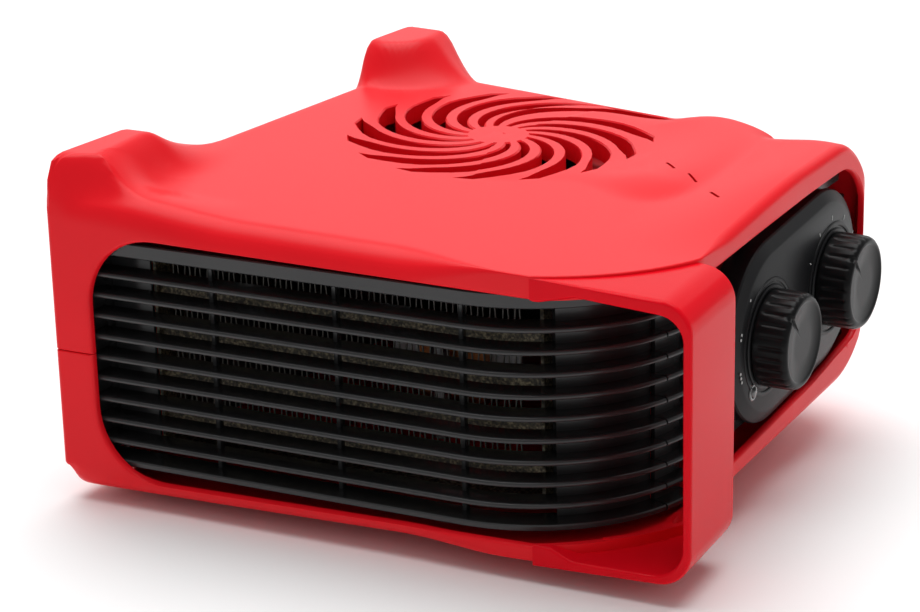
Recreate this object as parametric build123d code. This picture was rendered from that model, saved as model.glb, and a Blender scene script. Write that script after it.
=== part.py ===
"""Two-position fan heater with a wrap-round front grille and a corner carrying handle.

Drawing frame: X runs along the front from its lower left corner, Y runs back from the
front face and Z runs up from the lower left edge.  save() moves every piece to the part's
own frame, whose origin is at the centre of the underside of the feet.
"""
import os
from math import atan2, cos, degrees, hypot, pi, radians, sin

from build123d import *

# ---- driving dimensions (mm) ----
WALL = 2.6
FRONT_LEFT = (-10.0, 0.0)
SEAM = (201.0, 0.0)
CREASE_MID = (230.0, 18.5)
NOTCH = (250.5, 46.0)
REAR_RIGHT = (261.0, 221.0)
REAR_LEFT = (26.0, 257.0)
TOP_LEFT_Z = 124.5
BOTTOM_LEFT_Z = 0.0
TAPER = 0.0244
MID_Z = 61.0
CORNER_FRONT, CORNER_REAR_LEFT, CORNER_REAR_RIGHT = 2.4, 12.0, 12.0
REAR_TOP_R, REAR_LOW_R = 36.0, 34.0
LUG_BASE_Z, LUG_TOP_Z = 112.0, 141.3

# front opening and grille
OPEN_LEFT, OPEN_LOW_Z, OPEN_TOP_Z, OPEN_R = 8.5, 8.0, 112.0, 30.0
GRILLE_Y = 3.5
GRILLE_R = 73.0
GRILLE_CX = 170.0
GRILLE_CY = GRILLE_Y + GRILLE_R
BLADES = 9
BLADE_TOP_Z = 95.5
BLADE_PITCH = 8.885
BLADE_T = 2.0
BLADE_DEPTH = 12.0
GRILLE_LEFT = 3.0
GRILLE_END_DEG = 66.0
WALL_START_DEG = 30.0
WALL_INSET, WALL_DEPTH = 8.9, 3.0
GRILLE_LOW_Z, GRILLE_TOP_Z = 13.2, 109.0
GRILLE_BANDS = [(103.0, GRILLE_TOP_Z), (GRILLE_LOW_Z, 15.6)]
GRILLE_RIBS_X = (57.0, 112.0, 166.0)
RIB_T = 2.4

# side opening, louvre and control plate
LOUVRE_LOW_Z, LOUVRE_TOP_Z = 27.0, 108.4
LOUVRE_CORNER_Y = 64.0
SIDE_SLOPE = 0.061
SIDE_END_Y = 213.5
LOUVRE_T = 10.0
PLATE_X0, PLATE_X1 = 242.0, 250.6
PLATE_R = 36.0
PLATE_ENDS = [(115.0, 69.0), (171.0, 73.0)]
KNOB_R, KNOB_LENGTH, KNOB_X = 19.75, 14.6, 251.6
SELECTOR_YZ = (110.5, 66.0)
THERMOSTAT_YZ = (176.0, 70.2)
PILOT_YZ, PILOT_R = (95.5, 47.5), 2.2
KNOB_FLUTES = 24
SHAFT_R = 3.0
FIT = 0.05

# handle
HANDLE_X = 264.7
HANDLE_DEPTH = 46.0
POST_T = 3.7
ARM_TOP_Z, ARM_LOW_Z = 119.0, 4.6
HANDLE_OUT_R, HANDLE_IN_R = 13.0, 9.0

# fan and motor
FAN_X, FAN_Y = 114.5, 159.4
INTAKE_R, INTAKE_HUB_R, INTAKE_SLOTS = 62.0, 13.0, 15
INTAKE_SWEEP = 78.0
IMPELLER_R, IMPELLER_IN_R = 54.0, 42.0
IMPELLER_Z0, IMPELLER_Z1 = 63.0, 101.0
IMPELLER_BLADES = 30
DUCT_R, DUCT_T, DUCT_Z0, DUCT_Z1 = 68.0, 1.8, 14.0, 106.0
PLATE_Z0 = 56.0
MOTOR_SHAFT_R = 2.5
ROTOR_R, STATOR_BORE_R, STACK_Z0, STACK_H = 13.6, 14.1, 24.0, 18.0

# heating element
ELEMENT_X0, ELEMENT_X1, ELEMENT_Y0, ELEMENT_Y1 = 24.0, 196.0, 24.0, 44.0
ELEMENT_Z0, ELEMENT_Z1 = 16.0, 106.0
CARRIER_H, CARRIER_PITCH, CARRIER_LOW_Z, CARRIERS = 8.4, 18.4, 29.0, 4
CARRIER_T = 1.2
WIRE_PITCH, WIRE_W = 5.2, 0.7

# feet, screws and cord inlet
FOOT_R, FOOT_DROP = 7.0, 4.0
FEET_XY = {"front_left": (24.0, 30.0), "front_right": (206.0, 46.0),
           "rear_left": (42.0, 222.0), "rear_right": (196.0, 190.0)}
BASE_PAD_R, BASE_PAD_T = 6.0, 1.6
SCREWS_XY = [(6.0, 24.0), (16.0, 130.0), (44.0, 234.0), (212.0, 78.0), (228.0, 206.0)]
BOSS_R, SCREW_R, SCREW_HEAD_R = 4.2, 1.2, 3.0
INLET_X, INLET_Z, INLET_R, CORD_R = 70.0, 46.0, 7.0, 3.6

# the drawing frame's place in the part's own frame
ORIGIN = (132.82, 127.65, BOTTOM_LEFT_Z - FOOT_DROP)

PARTS = {}


def save(name, shape):
    """Write one piece in the part's own frame."""
    moved = Pos(-ORIGIN[0], -ORIGIN[1], -ORIGIN[2]) * shape
    moved.label = name
    PARTS[name] = moved
    export_step(moved, f"parts/{name}.step")


def top_z(x):
    return TOP_LEFT_Z - TAPER * (x - FRONT_LEFT[0])


def low_z(x):
    return BOTTOM_LEFT_Z + TAPER * (x - FRONT_LEFT[0])


def rear_y(x):
    slope = (REAR_RIGHT[1] - REAR_LEFT[1]) / (REAR_RIGHT[0] - REAR_LEFT[0])
    return REAR_LEFT[1] + slope * (x - REAR_LEFT[0])


def left_x(y):
    slope = (REAR_LEFT[0] - FRONT_LEFT[0]) / (REAR_LEFT[1] - FRONT_LEFT[1])
    return FRONT_LEFT[0] + slope * (y - FRONT_LEFT[1])


def box(x0, x1, y0, y1, z0, z1):
    centre = ((x0 + x1) / 2, (y0 + y1) / 2, (z0 + z1) / 2)
    return Pos(*centre) * Box(x1 - x0, y1 - y0, z1 - z0)


def rod(x, y, z0, z1, r):
    return Pos(x, y, (z0 + z1) / 2) * Cylinder(r, z1 - z0)


def rod_x(x0, x1, y, z, r):
    return Pos((x0 + x1) / 2, y, z) * Rot(0, 90, 0) * Cylinder(r, x1 - x0)


def plan_polygon(points, z0, z1):
    face = make_face(Polyline(*points, close=True))
    return extrude(Pos(0, 0, z0) * face, z1 - z0)


def front_prism(points, y0, y1, radii=None):
    """A prism of an outline seen from the front, from y0 back to y1."""
    line = Polyline(*[(x, 0, z) for x, z in points], close=True)
    face = make_face(line)
    if radii:
        face = round_corners(face, {(x, 0, z): r for (x, z), r in zip(points, radii) if r})
    return extrude(Pos(0, y0, 0) * face, y1 - y0, dir=(0, 1, 0))


def side_prism(points, x0, x1, radii=None):
    """A prism of an outline seen from the side, from x0 to x1."""
    line = Polyline(*[(0, y, z) for y, z in points], close=True)
    face = make_face(line)
    if radii:
        face = round_corners(face, {(0, y, z): r for (y, z), r in zip(points, radii) if r})
    return extrude(Pos(x0, 0, 0) * face, x1 - x0, dir=(1, 0, 0))


def round_corners(face, corners):
    """Fillet the named corners of a face, one radius for each."""
    for point, radius in corners.items():
        corner = face.vertices().sort_by_distance(Vector(*point))[0]
        face = fillet(corner, radius)
    return face


# ---- housing ----
def plan_face(inset):
    outline = [Line(FRONT_LEFT, SEAM), ThreePointArc(SEAM, CREASE_MID, NOTCH), Line(NOTCH, REAR_RIGHT),
               Line(REAR_RIGHT, REAR_LEFT), Line(REAR_LEFT, FRONT_LEFT)]
    face = make_face(outline)
    face = round_corners(face, {(*FRONT_LEFT, 0): CORNER_FRONT, (*REAR_LEFT, 0): CORNER_REAR_LEFT,
                                (*REAR_RIGHT, 0): CORNER_REAR_RIGHT})
    return offset(face, -inset, kind=Kind.INTERSECTION) if inset else face


def half_profile(inset, upper):
    """The side profile swept along the rear wall, which gives the roof or the underside."""
    start_x = -40.0
    back = rear_y(start_x) - inset
    roof = top_z(start_x) - inset
    floor = low_z(start_x) + inset
    edge_z, far_z = (roof, -60.0) if upper else (floor, 200.0)
    radius = (REAR_TOP_R if upper else REAR_LOW_R) - inset
    points = [(-60.0, edge_z), (back, edge_z), (back, far_z), (-60.0, far_z)]
    face = make_face(Polyline(*[(0, y, z) for y, z in points], close=True))
    face = round_corners(face, {(0, back, edge_z): radius})
    slope = (rear_y(100.0) - rear_y(0.0)) / 100.0
    run = Vector(1, slope, -TAPER if upper else TAPER)
    return extrude(Pos(start_x, 0, 0) * face, 330 * run.length, dir=run)


def lug(base, crown, inset):
    """A low block on the roof that widens the base when the heater stands on its end."""
    sections = []
    for corners, z in ((base, LUG_BASE_Z), (crown, LUG_TOP_Z - inset)):
        face = make_face(Polyline(*corners, close=True))
        face = offset(face, -inset, kind=Kind.INTERSECTION) if inset else face
        sections.append(Pos(0, 0, z) * face)
    return loft(sections, ruled=True)


FRONT_LUG = ([(-9.6, 2.0), (36.0, 2.0), (32.0, 76.0), (left_x(76.0) + 0.6, 76.0)],
             [(-8.8, 7.0), (14.0, 8.0), (12.0, 52.0), (left_x(52.0) + 0.8, 52.0)])
REAR_LUG = ([(left_x(196.0) + 0.6, 196.0), (64.0, 196.0), (72.0, 242.0), (30.0, 251.0)],
            [(left_x(217.0) + 1.0, 217.0), (46.0, 217.0), (46.0, 244.0), (31.0, 248.0)])


def housing_block(inset):
    """The closed outer form of the heater, or the cavity inside its walls."""
    block = (Pos(0, 0, -20) * extrude(plan_face(inset), 220.0)) & half_profile(inset, True)
    block = block & half_profile(inset, False)
    lift = inset * 1.2
    chamfer = front_prism([(226.0, -10.0 + lift), (285.0, -10.0 + lift), (285.0, 36.0 + lift),
                           (226.0, 1.0 + lift)], NOTCH[1], 300.0)
    block = block - chamfer
    for base, crown in (FRONT_LUG, REAR_LUG):
        block = block + lug(base, crown, inset)
    return block


def front_opening():
    low, high = OPEN_LOW_Z, OPEN_TOP_Z
    right = 270.0
    points = [(OPEN_LEFT, low), (right, low + 5.0), (right, high - 3.0), (OPEN_LEFT, high)]
    return front_prism(points, -5.0, 14.0, [OPEN_R, 0, 0, OPEN_R])


def corner_opening():
    """The open corner behind the handle, between the roof and the floor."""
    return box(SEAM[0] - 4, 275.0, -5.0, NOTCH[1] + 14.0, 12.5, 109.2)


def side_opening():
    points = [(NOTCH[1] - 6, 24.0), (80.0, 25.0), (160.0, 30.0), (SIDE_END_Y, 34.5), (SIDE_END_Y, 112.5),
              (NOTCH[1] - 6, 109.2)]
    return side_prism(points, 232.0, 280.0, [0, 0, 0, 24.0, 24.0, 0])


def intake_slot(index):
    """One crescent slot of the roof's intake, swept clockwise from the hub to the rim."""
    start = index * 360.0 / INTAKE_SLOTS
    steps = 6
    pitch = 360.0 / INTAKE_SLOTS

    def edge(lead):
        points = []
        for step in range(steps + 1):
            t = step / steps
            radius = INTAKE_HUB_R + 1.5 + (INTAKE_R - INTAKE_HUB_R - 1.5) * t
            width = pitch * (0.30 + 0.26 * t)
            angle = radians(start - INTAKE_SWEEP * t**1.15 + lead * width / 2)
            points.append((FAN_X + radius * cos(angle), FAN_Y + radius * sin(angle)))
        return points

    left, right = edge(-1), edge(1)
    outline = [Spline(*left), Line(left[-1], right[-1]), Spline(*right), Line(right[0], left[0])]
    return extrude(Pos(0, 0, 100.0) * make_face(outline), 40.0)


def roof_slits():
    """Three short vent slits in a row on the right of the roof."""
    slits = [(200.8, 140.5), (214.0, 131.0), (230.5, 112.5)]
    turn = -48.0
    cuts = [Pos(x, y, 115.0) * Rot(0, 0, turn) * Box(9.0, 1.2, 30.0) for x, y in slits]
    return Part() + cuts


def bosses(block, z0, z1):
    """Screw bosses between two levels, trimmed to the housing's outer form."""
    posts = None
    for x, y in SCREWS_XY:
        post = rod(x, y, z0, z1, BOSS_R)
        posts = post if posts is None else posts + post
    return posts & block


def head_seat_z(x):
    return low_z(x) + (22.0 if x > 220 else 7.0)


def shells(outer):
    hollow = outer - housing_block(WALL)
    walls = hollow - front_opening() - corner_opening() - side_opening()
    upper_half = box(-60, 320, -60, 320, MID_Z, 200)
    lower_half = box(-60, 320, -60, 320, -60, MID_Z)
    top = (walls & upper_half) + bosses(outer, MID_Z, 150.0)
    bottom = (walls & lower_half) + bosses(outer, -20.0, MID_Z)
    for index in range(INTAKE_SLOTS):
        top = top - intake_slot(index)
    top = top - roof_slits()
    for x, y in SCREWS_XY:
        top = top - rod(x, y, MID_Z - 1, MID_Z + 24.0, SCREW_R + 0.15)
        bottom = bottom - rod(x, y, -20.0, MID_Z + 1, SCREW_R + 0.4)
        bottom = bottom - rod(x, y, -20.0, head_seat_z(x), SCREW_HEAD_R + 0.5)
    bottom = bottom - at_inlet(Cylinder(INLET_R, 30.0))
    return top, bottom


def housing_screws():
    screws = []
    for x, y in SCREWS_XY:
        seat = head_seat_z(x)
        head = rod(x, y, seat - 2.2, seat, SCREW_HEAD_R)
        shank = rod(x, y, seat, MID_Z + 20.0, SCREW_R)
        screws.append(head + shank)
    return Compound(screws)


def handle_bracket():
    """A C-shaped loop on the right front corner; the shells' corner curve trims its arms."""
    seam_x = SEAM[0]
    outer_points = [(seam_x, ARM_LOW_Z - 0.9), (HANDLE_X, ARM_LOW_Z + 0.6), (HANDLE_X, ARM_TOP_Z - 2.6),
                    (seam_x, top_z(seam_x) + 0.1)]
    inner_points = [(seam_x - 5, ARM_LOW_Z + 5.2), (HANDLE_X - POST_T, ARM_LOW_Z + 4.2),
                    (HANDLE_X - POST_T, ARM_TOP_Z - 6.9), (seam_x - 5, ARM_TOP_Z - 6.5)]
    radii = [0, HANDLE_OUT_R, HANDLE_OUT_R, 0]
    loop = front_prism(outer_points, 0.0, HANDLE_DEPTH, radii)
    loop = loop - front_prism(inner_points, -1.0, HANDLE_DEPTH + 1, [0, HANDLE_IN_R, HANDLE_IN_R, 0])
    loop = loop - extrude(Pos(0, 0, -20) * plan_face(0.0), 220.0)
    return largest(loop)


# ---- grilles and control plate ----
def grille_band(front, depth, x_left, end_deg, start_deg=None):
    """The plan strip of the wrap-round grille: a straight run, then an arc to end_deg."""
    r_out = GRILLE_R - front
    r_in = r_out - depth
    cx, cy = GRILLE_CX, GRILLE_CY

    def at(r, deg):
        return (cx + r * sin(radians(deg)), cy - r * cos(radians(deg)))

    first = 0.0 if start_deg is None else start_deg
    middle = (first + end_deg) / 2
    lines = [ThreePointArc(at(r_out, first), at(r_out, middle), at(r_out, end_deg)),
             Line(at(r_out, end_deg), at(r_in, end_deg)),
             ThreePointArc(at(r_in, end_deg), at(r_in, middle), at(r_in, first))]
    if start_deg is None:
        lines += [Line(at(r_in, 0), (x_left, cy - r_in)), Line((x_left, cy - r_in), (x_left, cy - r_out)),
                  Line((x_left, cy - r_out), at(r_out, 0))]
    else:
        lines += [Line(at(r_in, first), at(r_out, first))]
    return make_face(lines)


def largest(shape):
    return shape.solids().sort_by(SortBy.VOLUME)[-1]


def raised(face, z0, z1):
    return extrude(Pos(0, 0, z0) * face, z1 - z0)


def blade_tops():
    return [BLADE_TOP_Z - index * BLADE_PITCH for index in range(BLADES)]


def front_grille():
    """Slats between two bands, upright ribs behind them and a solid wall round the curve."""
    full = grille_band(0.0, BLADE_DEPTH, GRILLE_LEFT, GRILLE_END_DEG)
    face_band = grille_band(0.0, 3.0, GRILLE_LEFT, GRILLE_END_DEG)
    solid_wall = grille_band(WALL_INSET, WALL_DEPTH, GRILLE_LEFT, GRILLE_END_DEG, WALL_START_DEG)
    grille = raised(solid_wall, GRILLE_LOW_Z, GRILLE_TOP_Z)
    for low, high in GRILLE_BANDS:
        grille = grille + raised(face_band, low, high)
    for top in blade_tops() + [GRILLE_TOP_Z, GRILLE_LOW_Z + BLADE_T]:
        grille = grille + raised(full, top - BLADE_T, top)
    back = GRILLE_Y + BLADE_DEPTH
    for x in (GRILLE_LEFT,) + GRILLE_RIBS_X:
        grille = grille + box(x, x + RIB_T, back - 6.0, back, GRILLE_LOW_Z, GRILLE_TOP_Z)
    return grille


def louvre_face(inset_x, depth):
    """Plan strip of the side louvre, from the grille's end back along the right side."""
    r_out = GRILLE_R - inset_x
    r_in = r_out - depth
    start = GRILLE_END_DEG + 0.6

    def at(r, deg):
        return (GRILLE_CX + r * sin(radians(deg)), GRILLE_CY - r * cos(radians(deg)))

    turn = 90.0
    middle = (start + turn) / 2
    rear = SIDE_END_Y + 2.0
    shift = SIDE_SLOPE * (rear - GRILLE_CY)
    lines = [ThreePointArc(at(r_out, start), at(r_out, middle), at(r_out, turn)),
             Line(at(r_out, turn), (GRILLE_CX + r_out + shift, rear)),
             Line((GRILLE_CX + r_out + shift, rear), (GRILLE_CX + r_in + shift, rear)),
             Line((GRILLE_CX + r_in + shift, rear), at(r_in, turn)),
             ThreePointArc(at(r_in, turn), at(r_in, middle), at(r_in, start)),
             Line(at(r_in, start), at(r_out, start))]
    return make_face(lines)


def on_panel(shape):
    """Turn a piece drawn square to X onto the side panel, which follows the slanted rim."""
    lean = degrees(atan2(SIDE_SLOPE, 1.0))
    return Pos(*NOTCH, 0) * Rot(0, 0, -lean) * Pos(-NOTCH[0], -NOTCH[1], 0) * shape


def stadium(radius, x0, x1):
    """A prism along X of the round-ended outline of the control plate."""
    (y0, z0), (y1, z1) = PLATE_ENDS
    length = hypot(y1 - y0, z1 - z0)
    tilt = degrees(atan2(z1 - z0, y1 - y0))
    ends = rod_x(x0, x1, y0, z0, radius) + rod_x(x0, x1, y1, z1, radius)
    centre = Pos((x0 + x1) / 2, (y0 + y1) / 2, (z0 + z1) / 2)
    return ends + centre * Rot(tilt, 0, 0) * Box(x1 - x0, length, 2 * radius)


def side_louvre(cavity):
    """Slats beside the handle and behind the control plate, with a frame round the plate."""
    full = louvre_face(0.0, LOUVRE_T)
    skin = louvre_face(0.0, 3.0)
    corner = box(150.0, 300.0, 0.0, LOUVRE_CORNER_Y, GRILLE_LOW_Z, LOUVRE_TOP_Z)
    louvre = raised(skin, GRILLE_BANDS[0][0], LOUVRE_TOP_Z) + raised(skin, LOUVRE_LOW_Z, 35.4)
    louvre = louvre + (raised(louvre_face(LOUVRE_T - 2.4, 2.4), GRILLE_LOW_Z, LOUVRE_TOP_Z) & corner)
    for top in blade_tops() + [GRILLE_LOW_Z + BLADE_T]:
        blade = raised(full, top - BLADE_T, top)
        louvre = louvre + (blade if top > LOUVRE_LOW_Z + 3 else blade & corner)
    for y in (64.0, 78.0, 208.0):
        inner = GRILLE_CX + GRILLE_R + SIDE_SLOPE * max(0.0, y - GRILLE_CY) - LOUVRE_T
        louvre = louvre + box(inner, inner + 3.0, y, y + RIB_T, LOUVRE_LOW_Z, LOUVRE_TOP_Z)
    louvre = louvre - on_panel(stadium(PLATE_R - 3.0, 220.0, 262.0))
    frame = stadium(PLATE_R - 0.6, 236.5, PLATE_X0) - stadium(PLATE_R - 3.0, 236.0, PLATE_X0 + 1)
    louvre = louvre - on_panel(stadium(PLATE_R + 0.4, PLATE_X0, 262.0)) + on_panel(frame)
    return largest(louvre & cavity)


def control_plate():
    plate = stadium(PLATE_R, PLATE_X0, PLATE_X1 - 2.0) + stadium(PLATE_R - 3.0, PLATE_X1 - 2.0, PLATE_X1)
    plate = plate - stadium(PLATE_R - 5.0, PLATE_X0 - 1, PLATE_X1 - 2.6)
    for y, z in (SELECTOR_YZ, THERMOSTAT_YZ):
        plate = plate - rod_x(PLATE_X0 - 1, PLATE_X1 + 1, y, z, SHAFT_R + 0.5)
    plate = plate - rod_x(PLATE_X0 - 1, PLATE_X1 + 1, *PILOT_YZ, PILOT_R + 0.2)
    return plate


def pilot_lamp():
    lens = rod_x(PLATE_X1 - 9.0, PLATE_X1 + 1.0, *PILOT_YZ, PILOT_R)
    body = rod_x(PLATE_X1 - 22.0, PLATE_X1 - 9.0, *PILOT_YZ, PILOT_R + 0.3)
    return lens + body


def knob(y, z):
    """A fluted control knob with a blind D-bore that takes its shaft."""
    back = KNOB_X
    body = rod_x(back, back + KNOB_LENGTH, y, z, KNOB_R)
    for index in range(KNOB_FLUTES):
        angle = 2 * pi * index / KNOB_FLUTES
        reach = KNOB_R + 0.5
        body = body - rod_x(back + 3.0, back + KNOB_LENGTH - 1.5, y + reach * cos(angle),
                            z + reach * sin(angle), 0.9)
    body = body - rod_x(back - 1, back + KNOB_LENGTH - 3.0, y, z, KNOB_R - 2.4)
    body = body + rod_x(back, back + KNOB_LENGTH - 2.0, y, z, SHAFT_R + 2.2)
    return body - rod_x(back - 1, back + KNOB_LENGTH - 5.0, y, z, SHAFT_R)


def knob_shaft(y, z):
    return rod_x(KNOB_X - 24.0, KNOB_X + KNOB_LENGTH - 5.0, y, z, SHAFT_R)


def control_body(y, z, half, x0, x1, tabs):
    """A switch or thermostat body with a bore for the knob's shaft and blade terminals."""
    body = box(x0, x1, y - half, y + half, z - half, z + half)
    body = fillet(body.edges().filter_by(Axis.X), 3.0)
    neck = rod_x(x1, PLATE_X1 - 3.0, y, z, 5.0)
    body = (body + neck) - rod_x(x0 + 6.0, PLATE_X1, y, z, SHAFT_R + FIT)
    for index in range(tabs):
        offset_y = (index - (tabs - 1) / 2) * 8.0
        body = body + box(x0 - 7.0, x0, y + offset_y - 2.2, y + offset_y + 2.2, z - 0.4, z + 0.4)
    return body


# ---- fan, duct and motor ----
def air_duct(cavity):
    """The scroll round the impeller, open to the front behind the heating element."""
    inner_r, outer_r = DUCT_R, DUCT_R + DUCT_T

    def outline(r, grow):
        front = ELEMENT_Y1 + 5.0
        left, right = ELEMENT_X0 - 1 - grow, ELEMENT_X1 + 1 + grow
        return make_face([Line((left, front), (right, front)), Line((right, front), (FAN_X + r, FAN_Y)),
                          ThreePointArc((FAN_X + r, FAN_Y), (FAN_X, FAN_Y + r), (FAN_X - r, FAN_Y)),
                          Line((FAN_X - r, FAN_Y), (left, front))])

    ring = raised(outline(outer_r, DUCT_T), DUCT_Z0, DUCT_Z1)
    ring = ring - raised(outline(inner_r, 0.0), DUCT_Z0 - 1, DUCT_Z1 + 1)
    ring = ring - box(ELEMENT_X0 - 1, ELEMENT_X1 + 1, ELEMENT_Y1, ELEMENT_Y1 + 8, 0, 130)
    return ring & cavity


def fan_cover(cavity):
    """The lid of the scroll, with the rolled inlet that feeds the impeller."""
    lid = rod(FAN_X, FAN_Y, DUCT_Z1, DUCT_Z1 + 1.8, DUCT_R + DUCT_T)
    front = box(ELEMENT_X0 - 2, ELEMENT_X1 + 2, ELEMENT_Y1 + 5, FAN_Y, DUCT_Z1, DUCT_Z1 + 1.8)
    sides = plan_polygon([(ELEMENT_X0 - 2, ELEMENT_Y1 + 5), (ELEMENT_X1 + 2, ELEMENT_Y1 + 5),
                          (FAN_X + DUCT_R + DUCT_T, FAN_Y), (FAN_X - DUCT_R - DUCT_T, FAN_Y)],
                         DUCT_Z1, DUCT_Z1 + 1.8)
    lid = lid + (front & sides)
    lip = rod(FAN_X, FAN_Y, DUCT_Z1 - 3.0, DUCT_Z1, IMPELLER_IN_R - 1.0)
    return ((lid + lip) - rod(FAN_X, FAN_Y, 90, 130, IMPELLER_IN_R - 3.0)) & cavity


def impeller():
    disc = rod(FAN_X, FAN_Y, IMPELLER_Z0, IMPELLER_Z0 + 1.8, IMPELLER_R)
    hub = rod(FAN_X, FAN_Y, IMPELLER_Z0, IMPELLER_Z0 + 16.0, 7.0)
    ring = rod(FAN_X, FAN_Y, IMPELLER_Z1 - 2.0, IMPELLER_Z1, IMPELLER_R)
    ring = ring - rod(FAN_X, FAN_Y, IMPELLER_Z1 - 3.0, IMPELLER_Z1 + 1, IMPELLER_IN_R)
    wheel = disc + hub + ring
    middle = (IMPELLER_R + IMPELLER_IN_R) / 2
    chord = IMPELLER_R - IMPELLER_IN_R
    for index in range(IMPELLER_BLADES):
        angle = 360.0 * index / IMPELLER_BLADES
        blade = Rot(0, 0, angle) * Pos(middle, 0, 0) * Rot(0, 0, 28) * Box(chord, 1.1, 36.0)
        wheel = wheel + Pos(FAN_X, FAN_Y, (IMPELLER_Z0 + IMPELLER_Z1) / 2) * blade
    wheel = wheel & rod(FAN_X, FAN_Y, 0, 200, IMPELLER_R)
    return wheel - rod(FAN_X, FAN_Y, 0, IMPELLER_Z0 + 13.0, MOTOR_SHAFT_R)


def motor_plate():
    """The sheet that closes the scroll's floor and carries the motor."""
    plate = rod(FAN_X, FAN_Y, PLATE_Z0, PLATE_Z0 + 1.2, DUCT_R - 0.4)
    plate = plate - rod(FAN_X, FAN_Y, 0, 100, 12.0)
    for angle in (30, 150, 270):
        x = FAN_X + 60.0 * cos(radians(angle))
        y = FAN_Y + 60.0 * sin(radians(angle))
        plate = plate + rod(x, y, low_z(x + 4.0) + WALL, PLATE_Z0, 4.0)
    for side in (-1, 1):
        plate = plate - rod(FAN_X + side * 24.0, FAN_Y, 0, 100, 1.8)
    return plate


def motor_stator():
    """The laminated frame of a shaded-pole motor, with its bore on the fan's axis."""
    z0, z1 = STACK_Z0, STACK_Z0 + STACK_H
    stack = box(FAN_X - 30, FAN_X + 30, FAN_Y - 44, FAN_Y + 22, z0, z1)
    window = box(FAN_X - 18, FAN_X + 18, FAN_Y - 34, FAN_Y - 19, z0 - 1, z1 + 1)
    stack = stack - window - rod(FAN_X, FAN_Y, z0 - 1, z1 + 1, STATOR_BORE_R)
    for side in (-1, 1):
        stack = stack - rod(FAN_X + side * 24.0, FAN_Y, z0 - 1, z1 + 1, 1.8)
    return stack


def motor_coil():
    z0, z1 = STACK_Z0, STACK_Z0 + STACK_H
    coil = box(FAN_X - 15, FAN_X + 15, FAN_Y - 50, FAN_Y - 22, z0 - 7, z1 + 7)
    coil = fillet(coil.edges().filter_by(Axis.X), 3.0)
    core = box(FAN_X - 16, FAN_X + 16, FAN_Y - 44, FAN_Y - 34, z0, z1)
    return coil - core


def motor_yoke(z_face, outward):
    """A pressed bearing bridge across the stack; outward is 1 above it and -1 below."""
    rise = 8.0 * outward
    z_low, z_high = sorted((z_face + rise, z_face + rise + 1.5 * outward))
    bridge = box(FAN_X - 30, FAN_X + 30, FAN_Y - 8, FAN_Y + 8, z_low, z_high)
    for side in (-1, 1):
        leg_low, leg_high = sorted((z_face, z_face + rise))
        leg = box(FAN_X + side * 24 - 6, FAN_X + side * 24 + 6, FAN_Y - 8, FAN_Y + 8, leg_low, leg_high)
        bridge = bridge + leg
        bridge = bridge - rod(FAN_X + side * 24.0, FAN_Y, 0, 100, 1.8)
    return bridge - rod(FAN_X, FAN_Y, 0, 100, 4.5)


def motor_bushes():
    """Two sintered bushes that carry the shaft, one in each bridge."""
    bushes = []
    for z_mid in (STACK_Z0 - 8.75, STACK_Z0 + STACK_H + 8.75):
        bush = rod(FAN_X, FAN_Y, z_mid - 2.5, z_mid + 2.5, 4.5)
        bushes.append(bush - rod(FAN_X, FAN_Y, 0, 100, MOTOR_SHAFT_R + FIT))
    return Compound(bushes)


def motor_screws():
    screws = []
    for side in (-1, 1):
        x = FAN_X + side * 24.0
        shank = rod(x, FAN_Y, STACK_Z0 - 12.0, PLATE_Z0 + 1.2, 1.6)
        screws.append(shank + rod(x, FAN_Y, PLATE_Z0 + 1.2, PLATE_Z0 + 3.6, 3.2))
    return Compound(screws)


def motor_shaft():
    return rod(FAN_X, FAN_Y, STACK_Z0 - 13.0, IMPELLER_Z0 + 13.0, MOTOR_SHAFT_R)


def motor_rotor():
    core = rod(FAN_X, FAN_Y, STACK_Z0, STACK_Z0 + STACK_H, ROTOR_R)
    return core - rod(FAN_X, FAN_Y, 0, 100, MOTOR_SHAFT_R)


# ---- heating element ----
def element_frame():
    """Insulating boards round the element: a floor, a roof and two ends."""
    boards = box(ELEMENT_X0, ELEMENT_X1, ELEMENT_Y0, ELEMENT_Y1, ELEMENT_Z0, ELEMENT_Z1)
    boards = boards - box(ELEMENT_X0 + 1.4, ELEMENT_X1 - 1.4, ELEMENT_Y0 - 1, ELEMENT_Y1 + 1,
                          ELEMENT_Z0 + 1.4, ELEMENT_Z1 - 1.4)
    return boards


def carrier(index):
    """One insulating strip that the heating wire is hooked over."""
    z0 = CARRIER_LOW_Z + index * CARRIER_PITCH - CARRIER_H / 2
    y0 = ELEMENT_Y0 + 3.0
    return box(ELEMENT_X0 + 1.4, ELEMENT_X1 - 1.4, y0, y0 + CARRIER_T, z0, z0 + CARRIER_H)


def heating_wire(index):
    """The wire's zigzag between two strips, as a flat ribbon of its real width."""
    z0 = CARRIER_LOW_Z + index * CARRIER_PITCH + CARRIER_H / 2 + 0.2
    z1 = z0 + CARRIER_PITCH - CARRIER_H - 0.4
    start, end = ELEMENT_X0 + 14.0, ELEMENT_X1 - 14.0
    count = int((end - start) / WIRE_PITCH)
    points = []
    for step in range(count + 1):
        x = start + step * WIRE_PITCH
        high = z1 - WIRE_W if step % 2 else z0 + WIRE_W
        points.append((x, high))
    y0 = ELEMENT_Y0 + 3.2
    upper = [(x, z + WIRE_W) for x, z in points]
    lower = [(x, z - WIRE_W / 2) for x, z in reversed(points)]
    return front_prism(upper + lower, y0, y0 + 0.6)


def thermal_cutout():
    can = Pos(60.0, ELEMENT_Y1 - 5.0, ELEMENT_Z1 - 5.4) * Cylinder(6.0, 8.0)
    ears = box(50.0, 70.0, ELEMENT_Y1 - 8.0, ELEMENT_Y1 - 2.0, ELEMENT_Z1 - 2.4, ELEMENT_Z1 - 1.4)
    return can + ears


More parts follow.
